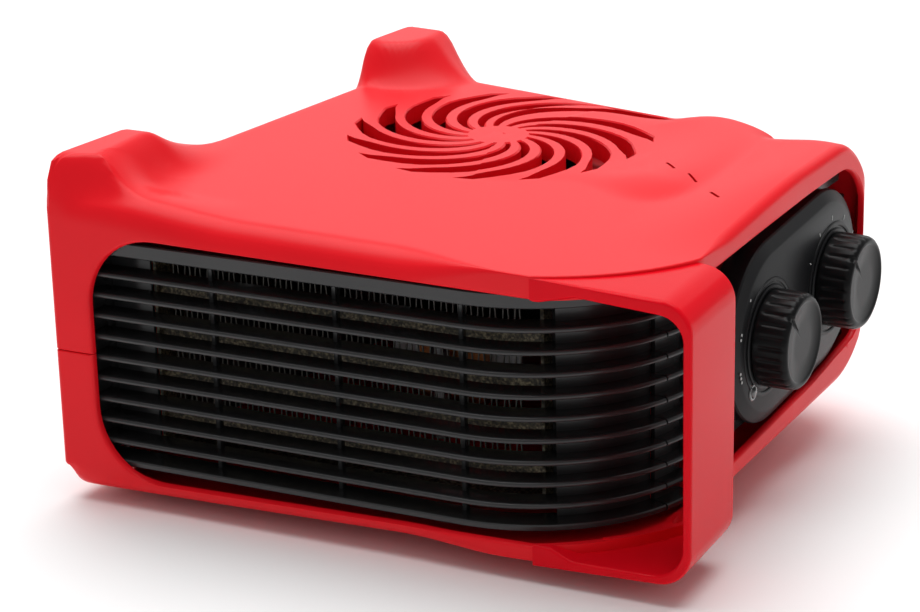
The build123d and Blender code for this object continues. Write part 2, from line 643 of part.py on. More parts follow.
def thermal_fuse():
    return rod_x(120.0, 133.0, ELEMENT_Y1 - 5.0, ELEMENT_Z1 - 4.0, 2.0)


# ---- wiring, feet and inlet ----
def terminal_block():
    block = box(206.0, 228.0, 104.0, 136.0, 12.0, 24.0)
    for index in range(3):
        y = 110.0 + index * 10.0
        block = block - rod(217.0, y, 18.0, 30.0, 2.6)
    return block


def terminal_screws():
    return Compound([rod(217.0, 110.0 + index * 10.0, 18.0, 22.5, 2.4) for index in range(3)])


def at_inlet(shape):
    """Place a piece drawn along Z at the cord inlet, pointing out of the rear wall."""
    turn = degrees(atan2(rear_y(0) - rear_y(100), 100.0))
    return Pos(INLET_X, rear_y(INLET_X), INLET_Z) * Rot(0, 0, -turn) * Rot(-90, 0, 0) * shape


def cord_grommet():
    """The inlet bush in the rear wall, empty and ready for a mains lead."""
    ring = Pos(0, 0, -6.0) * Cylinder(INLET_R - 0.1, 15.0) + Pos(0, 0, 1.4) * Cylinder(INLET_R + 1.8, 2.4)
    return at_inlet(ring - Cylinder(CORD_R, 60.0))


def foot(x, y, block):
    """A rubber foot from the sloping underside down to the table."""
    rubber = rod(x, y, BOTTOM_LEFT_Z - FOOT_DROP, low_z(x) + 4.0, FOOT_R)
    rubber = chamfer(rubber.edges().group_by(Axis.Z)[0], 0.8)
    return rubber - block


def base_pad(y, z, block):
    """A rubber pad on the left end, on which the heater stands upright."""
    lean = degrees(atan2(REAR_LEFT[0] - FRONT_LEFT[0], REAR_LEFT[1] - FRONT_LEFT[1]))
    pad = Rot(0, 0, -lean) * Rot(0, 90, 0) * Cylinder(BASE_PAD_R, 2 * BASE_PAD_T)
    return (Pos(left_x(y), y, z) * pad) - block


def main():
    os.makedirs("parts", exist_ok=True)
    block = housing_block(0.0)
    cavity = housing_block(WALL + 0.2)
    top, bottom = shells(block)
    save("top_shell", top)
    save("bottom_shell", bottom)
    save("housing_screws", housing_screws())
    save("handle_bracket", handle_bracket())
    save("front_grille", front_grille())
    save("side_louvre", side_louvre(cavity))
    save("control_plate", on_panel(control_plate()))
    save("pilot_lamp", on_panel(pilot_lamp()))
    save("selector_knob", on_panel(knob(*SELECTOR_YZ)))
    save("selector_shaft", on_panel(knob_shaft(*SELECTOR_YZ)))
    save("selector_switch", on_panel(control_body(*SELECTOR_YZ, 15.0, 215.0, 236.0, 4)))
    save("thermostat_knob", on_panel(knob(*THERMOSTAT_YZ)))
    save("thermostat_shaft", on_panel(knob_shaft(*THERMOSTAT_YZ)))
    save("thermostat_body", on_panel(control_body(*THERMOSTAT_YZ, 13.0, 218.0, 234.0, 2)))
    save("air_duct", air_duct(cavity))
    save("fan_cover", fan_cover(cavity))
    save("impeller", impeller())
    save("motor_shaft", motor_shaft())
    save("motor_rotor", motor_rotor())
    save("motor_plate", motor_plate())
    save("motor_stator", motor_stator())
    save("motor_coil", motor_coil())
    save("motor_upper_bridge", motor_yoke(STACK_Z0 + STACK_H, 1))
    save("motor_lower_bridge", motor_yoke(STACK_Z0, -1))
    save("motor_bushes", motor_bushes())
    save("motor_screws", motor_screws())
    save("element_frame", element_frame())
    for index in range(CARRIERS):
        save(f"element_strip_{index + 1}", carrier(index))
    for index in range(CARRIERS):
        save(f"heating_wire_{index + 1}", heating_wire(index))
    save("thermal_cutout", thermal_cutout())
    save("thermal_fuse", thermal_fuse())
    save("terminal_block", terminal_block())
    save("terminal_screws", terminal_screws())
    save("cord_grommet", cord_grommet())
    for name, (x, y) in FEET_XY.items():
        save(f"foot_{name}", foot(x, y, block))
    for index, (y, z) in enumerate([(30.0, 100.0), (30.0, 20.0), (225.0, 100.0), (225.0, 24.0)]):
        save(f"base_pad_{index + 1}", base_pad(y, z, block))
    everything = Compound(list(PARTS.values())).bounding_box()
    print("low corner", everything.min, "high corner", everything.max)


main()
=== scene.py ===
"""Looks of the fan heater: moulded shells, grilles, knobs and heating element round the CAD frame.

Sizes are millimetres in the drawing frame (X right along the front, Y back from the front
face, Z up from the lower left edge); frame_point() turns them into the frame's metres.
"""
from math import acos, atan, atan2, ceil, cos, degrees, hypot, pi, radians, sin, sqrt

import bmesh
import bpy
from mathutils import Matrix, Vector


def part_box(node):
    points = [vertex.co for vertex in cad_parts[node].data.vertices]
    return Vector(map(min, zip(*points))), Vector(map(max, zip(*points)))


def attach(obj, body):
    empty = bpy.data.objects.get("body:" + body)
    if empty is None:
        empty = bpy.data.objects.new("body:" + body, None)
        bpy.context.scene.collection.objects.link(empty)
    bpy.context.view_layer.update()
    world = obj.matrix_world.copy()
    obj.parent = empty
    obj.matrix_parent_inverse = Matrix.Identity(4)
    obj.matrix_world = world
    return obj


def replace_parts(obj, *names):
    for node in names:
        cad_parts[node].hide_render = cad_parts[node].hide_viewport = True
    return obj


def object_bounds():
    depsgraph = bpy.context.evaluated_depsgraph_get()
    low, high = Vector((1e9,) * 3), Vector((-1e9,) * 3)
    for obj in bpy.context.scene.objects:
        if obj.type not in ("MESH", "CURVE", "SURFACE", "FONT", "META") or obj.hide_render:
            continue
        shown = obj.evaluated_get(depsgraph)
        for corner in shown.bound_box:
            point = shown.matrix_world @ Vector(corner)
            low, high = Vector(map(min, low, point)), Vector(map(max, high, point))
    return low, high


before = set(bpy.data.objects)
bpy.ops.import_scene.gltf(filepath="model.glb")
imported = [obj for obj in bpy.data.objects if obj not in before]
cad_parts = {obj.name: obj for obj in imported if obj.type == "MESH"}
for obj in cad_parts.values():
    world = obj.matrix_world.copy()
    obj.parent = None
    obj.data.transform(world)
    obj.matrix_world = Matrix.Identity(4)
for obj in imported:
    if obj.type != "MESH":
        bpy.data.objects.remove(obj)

CAD_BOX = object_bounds()

# ---- driving dimensions (mm) ----
WALL = 2.6
FRONT_LEFT, SEAM = (-10.0, 0.0), (201.0, 0.0)
CREASE_MID, NOTCH = (230.0, 18.5), (250.5, 46.0)
REAR_RIGHT, REAR_LEFT = (261.0, 221.0), (26.0, 257.0)
PLAN_FRONT_R, PLAN_REAR_R = 2.4, 12.0
ROOF_Z, FLOOR_Z, TAPER = 124.5, 0.0, 0.0244
PARTING_Z, PARTING_GAP = 61.0, 0.18
RIM_RISE = 6.6
REAR_LUG_XY, REAR_LUG_FOOT_R = (34.0, 236.0), 35.0
LIP_RISE = 4.4
VOLUTE_RISE, VOLUTE_FLAT_R, VOLUTE_FOOT_R, VOLUTE_FALL = 3.2, 92.0, 120.0, 9.0
VOLUTE_SUNK = 14.0
CROWN_Z, REAR_CROWN_DROP = 141.3, 0.8
LIP_FADE_X = (140.0, 194.0)
REAR_LOW_R = 34.0
RIB_EXTRA = 5.5
EDGE_R = 2.4
HANDLE_X, HANDLE_DEPTH = 264.7, 46.0
FAN = (114.5, 159.4)
GRILLE_Y, GRILLE_R, GRILLE_CX = 3.5, 73.0, 170.0
BLADES, BLADE_TOP_Z, BLADE_PITCH, BLADE_T, BLADE_DEPTH = 9, 95.5, 8.885, 2.3, 12.0
GRILLE_END_DEG, WALL_START_DEG = 66.0, 30.0
SIDE_SLOPE, SIDE_END_Y = 0.061, 213.5
PLATE_X0, PLATE_X1, PLATE_R = 242.0, 250.6, 38.3
PLATE_ENDS = [(116.5, 66.8), (169.5, 70.8)]
KNOB_X, KNOB_R, KNOB_LENGTH, KNOB_FLUTES = 251.6, 19.75, 14.6, 26
SELECTOR_YZ, THERMOSTAT_YZ = (110.5, 66.0), (176.0, 70.2)
PILOT_YZ = (95.5, 47.5)
STRIPS, STRIP_LOW_Z, STRIP_PITCH, STRIP_H, STRIP_T = 4, 29.0, 18.4, 8.4, 1.2
ELEMENT_X0, ELEMENT_X1, ELEMENT_Y = 25.4, 194.6, 27.0
LOOP_PITCH = 5.2

# the drawing frame's origin in the frame's millimetres, from the handle and a foot
handle_low, handle_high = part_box("handle_bracket")
foot_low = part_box("foot_front_left")[0]
FOOT_DROP = 4.0
SHIFT = Vector((handle_high.x * 1000 - HANDLE_X, handle_low.y * 1000, foot_low.z * 1000 + FOOT_DROP))


def frame_point(x, y, z):
    return (Vector((x, y, z)) + SHIFT) / 1000


def panel_point(x, y, z):
    """A point drawn square to the side panel, turned onto its slant about the notch."""
    lean = atan(SIDE_SLOPE)
    dx, dy = x - NOTCH[0], y - NOTCH[1]
    return (NOTCH[0] + dx * cos(lean) + dy * sin(lean), NOTCH[1] - dx * sin(lean) + dy * cos(lean), z)


def smooth(a, b, x):
    t = min(1.0, max(0.0, (x - a) / (b - a)))
    return t * t * (3 - 2 * t)


def lerp(a, b, t):
    return a + (b - a) * t


# ---- meshes ----
class Form:
    """Closed shells gathered into one mesh, in drawing millimetres."""

    def __init__(self):
        self.points = []
        self.faces = []

    def ring(self, points):
        start = len(self.points)
        self.points.extend(points)
        return list(range(start, len(self.points)))

    def bridge(self, first, second):
        count = len(first)
        for i in range(count):
            j = (i + 1) % count
            self.faces.append((first[i], first[j], second[j], second[i]))

    def loft(self, rings):
        """Joins rings of points and caps both ends."""
        made = [self.ring(points) for points in rings]
        for first, second in zip(made, made[1:]):
            self.bridge(first, second)
        self.faces.append(tuple(reversed(made[0])))
        self.faces.append(tuple(made[-1]))

    def box(self, x, y, z, bevel=0.4, to=None):
        """A bar with bevelled edges, from its ranges in x, y and z."""
        turn = to or (lambda *point: point)
        rings = []
        for level, inset in ((z[0], bevel), (z[0] + bevel, 0.0), (z[1] - bevel, 0.0), (z[1], bevel)):
            outline = rounded([(x[0], y[0]), (x[1], y[0]), (x[1], y[1]), (x[0], y[1])],
                              [bevel] * 4, -inset, 2)
            rings.append([turn(px, py, level) for px, py in outline])
        self.loft(rings)


def make(name, form, material, body="housing", stands_for=(), sharp=32.0):
    """Turns a form into a shown piece that rides on a CAD body."""
    mesh = bpy.data.meshes.new(name)
    mesh.from_pydata([frame_point(*point) for point in form.points], [], form.faces)
    work = bmesh.new()
    work.from_mesh(mesh)
    bmesh.ops.remove_doubles(work, verts=work.verts, dist=1e-7)
    bmesh.ops.recalc_face_normals(work, faces=work.faces)
    work.to_mesh(mesh)
    work.free()
    obj = bpy.data.objects.new(name, mesh)
    bpy.context.scene.collection.objects.link(obj)
    mesh.materials.append(material)
    shade(obj, sharp)
    if body:
        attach(obj, body)
    if stands_for:
        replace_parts(obj, *stands_for)
    return obj


def shade(obj, sharp, weighted=False):
    obj.data.shade_smooth()
    obj.data.set_sharp_from_angle(angle=radians(sharp))
    if weighted:
        modifier = obj.modifiers.new("weighted normals", "WEIGHTED_NORMAL")
        modifier.keep_sharp = True
        modifier.weight = 80


def cut(obj, *forms):
    """Cuts forms out of a piece, one after the other, and keeps the result as its mesh."""
    for form in forms:
        tool = make("cutter", form, obj.data.materials[0], body=None)
        modifier = obj.modifiers.new("cut", "BOOLEAN")
        modifier.operation = "DIFFERENCE"
        modifier.solver = "MANIFOLD"
        modifier.object = tool
        graph = bpy.context.evaluated_depsgraph_get()
        mesh = bpy.data.meshes.new_from_object(obj.evaluated_get(graph))
        obj.modifiers.clear()
        obj.data = mesh
        bpy.data.objects.remove(tool)


# ---- outlines ----
def rounded(points, radii, grow=0.0, steps=6):
    """A counter-clockwise polygon with rounded corners, grown outward by a margin."""
    outline = []
    count = len(points)
    for i, (corner, radius) in enumerate(zip(points, radii)):
        before, after = Vector(points[i - 1]), Vector(points[(i + 1) % count])
        corner = Vector(corner)
        into, out = (corner - before).normalized(), (after - corner).normalized()
        turn = atan2(into.x * out.y - into.y * out.x, into.dot(out))
        side = 1.0 if turn >= 0 else -1.0
        left_in, left_out = Vector((-into.y, into.x)) * side, Vector((-out.y, out.x)) * side
        reach = (left_in + left_out).normalized()
        centre = corner + reach * (radius / max(0.2, cos(turn / 2)))
        arc_r = radius + grow * side
        for step in range(steps + 1):
            blend = step / steps
            angle = turn * blend
            spoke = Vector((-left_in.x * cos(angle) + left_in.y * sin(angle),
                            -left_in.x * sin(angle) - left_in.y * cos(angle)))
            point = centre + spoke * arc_r
            outline.append((point.x, point.y))
    return outline


def divide(points, longest):
    """Adds points on long runs of a closed outline."""
    result = []
    for first, second in zip(points, points[1:] + points[:1]):
        run = hypot(second[0] - first[0], second[1] - first[1])
        parts = max(1, ceil(run / longest))
        for part in range(parts):
            t = part / parts
            result.append((lerp(first[0], second[0], t), lerp(first[1], second[1], t)))
    return result


def arc_through(start, middle, end, steps):
    """Points of the circular arc through three points, ends included."""
    (ax, ay), (bx, by), (cx, cy) = start, middle, end
    d = 2 * (ax * (by - cy) + bx * (cy - ay) + cx * (ay - by))
    ux = ((ax**2 + ay**2) * (by - cy) + (bx**2 + by**2) * (cy - ay) + (cx**2 + cy**2) * (ay - by)) / d
    uy = ((ax**2 + ay**2) * (cx - bx) + (bx**2 + by**2) * (ax - cx) + (cx**2 + cy**2) * (bx - ax)) / d
    radius = hypot(ax - ux, ay - uy)
    first, last = atan2(ay - uy, ax - ux), atan2(cy - uy, cx - ux)
    return [(ux + radius * cos(lerp(first, last, i / steps)), uy + radius * sin(lerp(first, last, i / steps)))
            for i in range(steps + 1)]


CREASE = arc_through(SEAM, CREASE_MID, NOTCH, 16)


def plan_outline(inset):
    """The housing's outline from above with its inward directions, counter-clockwise."""
    corners = [FRONT_LEFT] + CREASE + [REAR_RIGHT, REAR_LEFT]
    radii = [PLAN_FRONT_R] + [0.05] * len(CREASE) + [PLAN_REAR_R, PLAN_REAR_R]
    loop = []
    for i, corner in enumerate(corners):
        steps = 8 if radii[i] > 1 else 0
        if steps:
            piece = rounded([corners[i - 1], corner, corners[(i + 1) % len(corners)]],
                            [0.1, radii[i], 0.1], 0.0, steps)
            loop.extend(piece[steps + 1:2 * steps + 2])
        else:
            loop.append(corner)
    loop = divide(loop, 3.0)
    rows = []
    for i, (x, y) in enumerate(loop):
        (x0, y0), (x1, y1) = loop[i - 1], loop[(i + 1) % len(loop)]
        length = hypot(x1 - x0, y1 - y0)
        nx, ny = -(y1 - y0) / length, (x1 - x0) / length
        rows.append((x + nx * inset, y + ny * inset, nx, ny))
    return rows


# ---- housing surfaces ----
def rear_y(x):
    slope = (REAR_RIGHT[1] - REAR_LEFT[1]) / (REAR_RIGHT[0] - REAR_LEFT[0])
    return REAR_LEFT[1] + slope * (x - REAR_LEFT[0])


def left_x(y):
    slope = (REAR_LEFT[0] - FRONT_LEFT[0]) / (REAR_LEFT[1] - FRONT_LEFT[1])
    return FRONT_LEFT[0] + slope * (y - FRONT_LEFT[1])


def quarter_drop(distance, reach, height):
    """How far an elliptical edge rounding has dropped at a distance from the wall."""
    t = min(1.0, max(0.0, 1.0 - distance / reach))
    return height * (1.0 - sqrt(max(0.0, 1.0 - t * t)))


def eased(u, width):
    """Nought before an edge and a straight ramp after it, with a rounded start."""
    if u <= -width:
        return 0.0
    if u >= width:
        return u
    return (u + width) ** 2 / (4 * width)


def soft_max(a, b, width):
    """The larger of two heights, blended where they are nearly equal."""
    h = min(1.0, max(0.0, 0.5 + 0.5 * (b - a) / width))
    return lerp(a, b, h) + width * h * (1 - h)


def front_lug(x, y):
    """Share of the front lug's height, fading to its right, in front of it and slowly behind it."""
    right = eased(x - 13.0, 5.0) / 25.0
    edge = lerp(3.5, 11.0, smooth(-9.0, 12.0, x))
    front = eased(edge - y, 2.5) / 8.0
    rear = eased(y - 50.0, 3.5) / 58.0
    far = sqrt(right * right + front * front + rear * rear)
    if far < 1e-6:
        return 1.0
    power = (4.0 * right + 2.2 * front + 2.2 * rear) / (right + front + rear)
    return max(0.0, 1.0 - far) ** power


def rear_lug(x, y):
    """Share of the rear lug's height, fading to a round foot."""
    dx, dy = x - REAR_LUG_XY[0], min(0.0, y - REAR_LUG_XY[1])
    reach = max(0.01, hypot(dx, dy))
    bearing = -degrees(acos(max(-1.0, min(1.0, dx / reach))))
    crown = lerp(20.5, 12.5, smooth(-105.0, -15.0, bearing))
    far = eased(reach - crown, 3.0) / (REAR_LUG_FOOT_R - crown)
    return max(0.0, 1.0 - far) ** 1.55


def volute_z(x, y, gap):
    """Top of the fan's scroll, which swells out of the roof to the right of the intake."""
    dx, dy = x - FAN[0], y - FAN[1]
    reach = hypot(dx, dy)
    bearing = atan2(dy, dx) * 180 / pi
    share = smooth(-75.0, -20.0, bearing) * smooth(66.0, 34.0, bearing)
    fall = quarter_drop(VOLUTE_FOOT_R - reach, VOLUTE_FOOT_R - VOLUTE_FLAT_R, VOLUTE_FALL)
    swell = -VOLUTE_SUNK
    if share > 0:
        swell = lerp(-VOLUTE_SUNK, VOLUTE_RISE, share) * smooth(58.0, 90.0, reach)
    past = 4.0 * max(0.0, reach - VOLUTE_FOOT_R)
    return ROOF_Z - TAPER * (x - FRONT_LEFT[0]) + swell - fall - past - quarter_drop(gap, 16.0, 20.0)


def roof_z(x, y, inset=0.0):
    """Height of the roof with its lugs, scroll, front lip and edge roundings."""
    body = ROOF_Z - TAPER * (x - FRONT_LEFT[0])
    body += RIM_RISE * smooth(205.0, 250.0, x) * smooth(40.0, 150.0, y)
    growth = smooth(190.0, 240.0, x)
    gap = rear_y(x) - inset - y
    body -= quarter_drop(gap, lerp(23.0, 38.0, growth) - inset, lerp(25.0, 47.0, growth) - inset)
    body = soft_max(body, volute_z(x, y, gap), 1.2)
    body += LIP_RISE * smooth(76.0, 8.0, x) * smooth(32.0, 14.0, y)
    front = front_lug(x, y)
    rear = rear_lug(x, y)
    body = lerp(body, CROWN_Z, front)
    body = lerp(body, CROWN_Z - REAR_CROWN_DROP - quarter_drop(gap, 8.0, 9.0), rear)
    lip = 12.0 * (1.0 - smooth(*LIP_FADE_X, x)) + 0.01
    rise = max(front, rear)
    side = lerp(4.5, 11.0, smooth(14.0, 60.0, y))
    side = lerp(side, 0.6, smooth(0.02, 0.8, rise)) * smooth(120.0, 60.0, x)
    front_share = max(0.0, 1.0 - max(0.0, y - inset) / lip)
    side_share = max(0.0, 1.0 - max(0.0, x - left_x(y) - inset) / (side + 0.01))
    share = min(1.0, hypot(front_share, side_share))
    depth = max(lip * front_share, side * side_share) / max(front_share, side_share, 1e-6)
    return body - depth * (1.0 - sqrt(1.0 - share * share)) - inset


def floor_z(x, y, inset=0.0):
    """Height of the underside, which rises in a chamfer towards the right."""
    body = FLOOR_Z + TAPER * (x - FRONT_LEFT[0])
    chamfer = (1.0 + 0.593 * (x - 226.0)) * smooth(46.0, 49.0, y)
    body = soft_max(body, chamfer, 2.0)
    lip = 10.0 * (1.0 - smooth(*LIP_FADE_X, x)) + 0.01
    front_share = max(0.0, 1.0 - max(0.0, y - inset) / lip)
    side_share = max(0.0, 1.0 - max(0.0, x - left_x(y) - inset) / 9.0)
    share = min(1.0, hypot(front_share, side_share))
    reach = lerp(9.0, lip, front_share / max(front_share + side_share, 1e-6))
    rise = reach * (1.0 - sqrt(1.0 - share * share))
    rear = REAR_LOW_R - inset
    return body + rise + quarter_drop(rear_y(x) - inset - y, rear, rear) + inset


def edge_radius(x, y, nx, ny, upper):
    """Small fillet between a wall and the roof or floor, crisp beside the handle."""
    front = lerp(EDGE_R, 0.8, smooth(*LIP_FADE_X, x))
    right = lerp(0.8, 4.0 if upper else 3.0, smooth(46.0, 75.0, y))
    weights = (max(0.0, ny) ** 2, max(0.0, -nx) ** 2, max(0.0, -ny) ** 2, max(0.0, nx) ** 2)
    return sum(w * r for w, r in zip(weights, (front, right, 0.6, EDGE_R))) / sum(weights)


FILLET_STEPS, WALL_STEPS, NEAR_STEPS, FAR_STEPS = 7, 7, 34, 26
NEAR_SHARE = 0.5


def spread():
    """Shares of the way from the fillet to the fan's axis, closer together near the walls."""
    near = [NEAR_SHARE * (1 - cos(pi / 2 * k / NEAR_STEPS)) for k in range(1, NEAR_STEPS + 1)]
    far = [NEAR_SHARE + (1 - NEAR_SHARE) * 0.94 * k / FAR_STEPS for k in range(1, FAR_STEPS + 1)]
    return near + far


def inner_roof_z(x, y, inset):
    """The roof's inside, which is thicker round the intake so that its ribs are deep."""
    return roof_z(x, y, inset) - RIB_EXTRA * smooth(86.0, 80.0, hypot(x - FAN[0], y - FAN[1]))


def skin(inset, upper):
    """Rings of one half's surface from the parting line to the fan's axis."""
    side = 1.0 if upper else -1.0
    height = (inner_roof_z if inset else roof_z) if upper else floor_z
    start_z = PARTING_Z + side * PARTING_GAP
    rows = []
    for x, y, nx, ny in plan_outline(inset):
        radius = max(0.3, edge_radius(x, y, nx, ny, upper) - inset)
        column = []
        edge_z = height(x, y, inset) - side * radius
        lip = 0.35 if inset == 0 else 0.0
        column.append((x + nx * lip, y + ny * lip, start_z))
        column.append((x, y, start_z + side * 0.4))
        for step in range(1, WALL_STEPS + 1):
            column.append((x, y, lerp(start_z + side * 0.4, edge_z, step / WALL_STEPS)))
        for step in range(1, FILLET_STEPS + 1):
            angle = pi / 2 * step / FILLET_STEPS
            px, py = x + nx * radius * (1 - cos(angle)), y + ny * radius * (1 - cos(angle))
            column.append((px, py, height(px, py, inset) - side * radius * (1 - sin(angle))))
        px, py = x + nx * radius, y + ny * radius
        for share in spread():
            qx, qy = lerp(px, FAN[0], share), lerp(py, FAN[1], share)
            column.append((qx, qy, height(qx, qy, inset)))
        rows.append(column)
    return [list(ring) for ring in zip(*rows)]


def shell(name, upper, material, cutters):
    """One half of the housing: outer and inner skins joined at the parting line, then cut."""
    form = Form()
    outer, inner = skin(0.0, upper), skin(WALL, upper)
    rings = [form.ring(points) for points in outer]
    inner_rings = [form.ring(points) for points in inner]
    for group in (rings, inner_rings):
        for first, second in zip(group, group[1:]):
            form.bridge(first, second)
        form.faces.append(tuple(group[-1]))
    form.bridge(rings[0], inner_rings[0])
    obj = make(name, form, material, None, sharp=60.0)
    cut(obj, *cutters)
    obj.data.name = name
    shade(obj, 34.0, True)
    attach(obj, "housing")
    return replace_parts(obj, name.replace("_moulding", ""))


# ---- cutters ----
RIM = [(1.6, 1.6), (0.0, 1.6), (-0.15, 0.96), (-0.55, 0.42), (-1.6, 0.0), (-16.0, 0.0)]


def front_cutter():
    """The front opening with a rounded rim, open to the right."""
    corners = [(8.5, 8.0), (275.0, 13.0), (275.0, 109.0), (8.5, 112.0)]
    form = Form()
    form.loft([[(x, -depth, z) for x, z in rounded(corners, [30.0, 0.4, 0.4, 30.0], grow, 12)]
               for depth, grow in RIM])
    return form


def block(x, y, z):
    form = Form()
    form.box(x, y, z, 0.3)
    return form


def side_cutter():
    """The side opening with its rounded rear end, cut square to the slanted panel."""
    corners = [(38.0, 22.5), (80.0, 24.6), (160.0, 30.0), (214.0, 37.0), (214.5, 113.6), (150.0, 113.0),
               (94.0, 111.0), (38.0, 108.6)]
    radii = [0.4, 12.0, 30.0, 16.0, 29.0, 20.0, 20.0, 0.4]
    form = Form()
    form.loft([[panel_point(NOTCH[0] + depth, y, z) for y, z in rounded(corners, radii, grow, 8)]
               for depth, grow in RIM[:-1] + [(-22.0, 0.0)]])
    return form


SLOTS, SLOT_HUB_R, SLOT_RIM_R, SLOT_SWEEP = 15, 13.5, 64.0, 78.0


def slot_outline(index, grow):
    """One crescent of the intake, swept clockwise from the hub and widest near the rim."""
    steps = 16
    pitch = 360.0 / SLOTS
    sides = {1: [], -1: []}
    tip = (index * pitch - SLOT_SWEEP + 180.0) % 360.0 - 180.0
    rim = SLOT_RIM_R + 15.0 * smooth(26.0, 0.0, abs(tip - 38.0))
    for step in range(steps + 1):
        t = step / steps
        radius = lerp(SLOT_HUB_R - grow, rim + grow, t)
        share = 0.26 + 0.46 * t ** 0.7 - 0.44 * smooth(0.80, 1.0, t)
        middle = radians(index * pitch - SLOT_SWEEP * t ** 1.12)
        for side in sides:
            angle = middle + side * (radians(pitch * share / 2) + grow / radius)
            sides[side].append((FAN[0] + radius * cos(angle), FAN[1] + radius * sin(angle)))
    return sides[-1] + sides[1][::-1]


def intake_cutter():
    form = Form()
    for index in range(SLOTS):
        rings = []
        for rise, grow in ((2.0, 0.55), (-0.02, 0.55), (-0.6, 0.0), (-12.0, 0.0)):
            rings.append([(x, y, roof_z(x, y) + rise) for x, y in slot_outline(index, grow)])
        form.loft(rings)
    return form


def slits_cutter():
    """Three short slits in a row on the right of the roof."""
    form = Form()
    turn = radians(-48.0)
    for cx, cy in ((200.8, 140.5), (214.0, 131.0), (230.5, 112.5)):
        def place(x, y, z, cx=cx, cy=cy):
            return (cx + x * cos(turn) - y * sin(turn), cy + x * sin(turn) + y * cos(turn), z)
        form.box((-4.5, 4.5), (-0.6, 0.6), (110.0, 140.0), 0.3, place)
    return form


def lathe(form, profile, at, steps):
    """Turns (radius, x) pairs about an axis along X through at, which is (y, z)."""
    rings = []
    for radius, x in profile:
        ring = []
        for i in range(steps):
            angle = 2 * pi * i / steps
            ring.append(panel_point(x, at[0] + radius * cos(angle), at[1] + radius * sin(angle)))
        rings.append(ring)
    form.loft(rings)


SCREWS_XY = [(6.0, 24.0), (16.0, 130.0), (44.0, 234.0), (212.0, 78.0), (228.0, 206.0)]


def screw_cutter():
    form = Form()
    for x, y in SCREWS_XY:
        rings = []
        for z, r in ((-30.0, 4.4), (floor_z(x, y) - 0.1, 4.4), (floor_z(x, y) + 0.6, 3.6), (45.0, 3.6)):
            rings.append([(x + r * cos(2 * pi * i / 24), y + r * sin(2 * pi * i / 24), z) for i in range(24)])
        form.loft(rings)
    return form


def inlet_cutter():
    low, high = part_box("cord_grommet")
    centre = (low + high) / 2 * 1000 - SHIFT
    lean = atan2(REAR_LEFT[1] - REAR_RIGHT[1], REAR_RIGHT[0] - REAR_LEFT[0])
    form = Form()
    rings = []
    for depth in (-14.0, 14.0):
        ring = []
        for i in range(32):
            a = 2 * pi * i / 32
            side, up = 7.05 * cos(a), 7.05 * sin(a)
            ring.append((centre.x + side * cos(lean) + depth * sin(lean),
                         centre.y - side * sin(lean) + depth * cos(lean), centre.z + up))
        rings.append(ring)
    form.loft(rings)
    return form


# ---- handle ----
def bracket_contour(grow):
    """The C-shaped section of the handle: its outer edge, then its inner edge with the ramps."""
    outer = [(188.0, 3.0), (264.7, 4.9), (264.7, 116.2), (188.0, 119.4)]
    inner = [(188.0, 12.6), (208.0, 12.2), (217.0, 8.1), (261.2, 8.5), (260.9, 110.0), (219.0, 112.9),
             (204.0, 109.2), (188.0, 109.3)]
    out = rounded(outer, [0.3, 14.0, 13.0, 0.3], grow, 12)
    hole = rounded(inner, [0.3, 4.0, 5.0, 12.0, 10.0, 6.0, 5.0, 0.3], -grow, 8)
    lower_right, upper_right = out[13:26], out[26:39]
    start = [(188.0, out[0][1])]
    end = [(188.0, out[-1][1])]
    back = [point for point in hole if point[0] > 188.6]
    hole_low, hole_high = hole[0][1], hole[-1][1]
    return (start + lower_right + upper_right + end + [(188.0, hole_high)] + back[::-1]
            + [(188.0, hole_low)])


def handle(material):
    form = Form()
    edge = [(0.0, -1.5), (0.2, -0.93), (0.6, -0.44), (1.5, 0.0)]
    levels = edge + [(HANDLE_DEPTH - y, grow) for y, grow in reversed(edge)]
    form.loft([[(x, y, z) for x, z in bracket_contour(grow)] for y, grow in levels])
    obj = make("handle_loop", form, material, None)
    trim = Form()
    plan = [(150.0, -20.0), (SEAM[0], -20.0)] + CREASE + [(250.5, 80.0), (150.0, 80.0)]
    trim.loft([[(x, y, z) for x, y in plan] for z in (-30.0, 160.0)])
    cut(obj, trim)
    obj.data.name = obj.name
    shade(obj, 34.0, True)
    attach(obj, "housing")
    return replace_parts(obj, "handle_bracket")


# ---- grilles ----
def front_path(x_start, first_deg, last_deg):
    """Plan points of the wrap-round grille with their inward directions."""
    cy = GRILLE_Y + GRILLE_R
    path = []
    if x_start is not None:
        runs = 12
        path = [(lerp(x_start, GRILLE_CX, i / runs), GRILLE_Y, 0.0, 1.0) for i in range(runs)]
    steps = max(4, round((last_deg - first_deg) / 3.0))
    for i in range(steps + 1):
        a = radians(lerp(first_deg, last_deg, i / steps))
        path.append((GRILLE_CX + GRILLE_R * sin(a), cy - GRILLE_R * cos(a), -sin(a), cos(a)))
    return path


def side_path(y_start, y_end):
    """Plan points of the side louvre between two distances back from the front."""
    cy = GRILLE_Y + GRILLE_R
    lean = hypot(1.0, SIDE_SLOPE)
    path = []
    if y_start < cy:
        first = degrees_on_arc(y_start)
        last = degrees_on_arc(min(y_end, cy))
        path = front_path(None, first, last)
    if y_end > cy:
        path.extend((GRILLE_CX + GRILLE_R + SIDE_SLOPE * (y - cy), y, -1.0 / lean, SIDE_SLOPE / lean)
                    for y in (max(y_start, cy + 1.0), y_end))
    return path


def louvre_end(z):
    """How far back the louvre may run at a height, inside the rear rounding."""
    lift = max(0.0, (z - 76.0) / 47.0)
    return min(SIDE_END_Y + 1.5, 183.0 + 38.0 * sqrt(1.0 - lift * lift) - 4.5)


def degrees_on_arc(y):
    return acos(max(-1.0, min(1.0, (GRILLE_Y + GRILLE_R - y) / GRILLE_R))) * 180 / pi


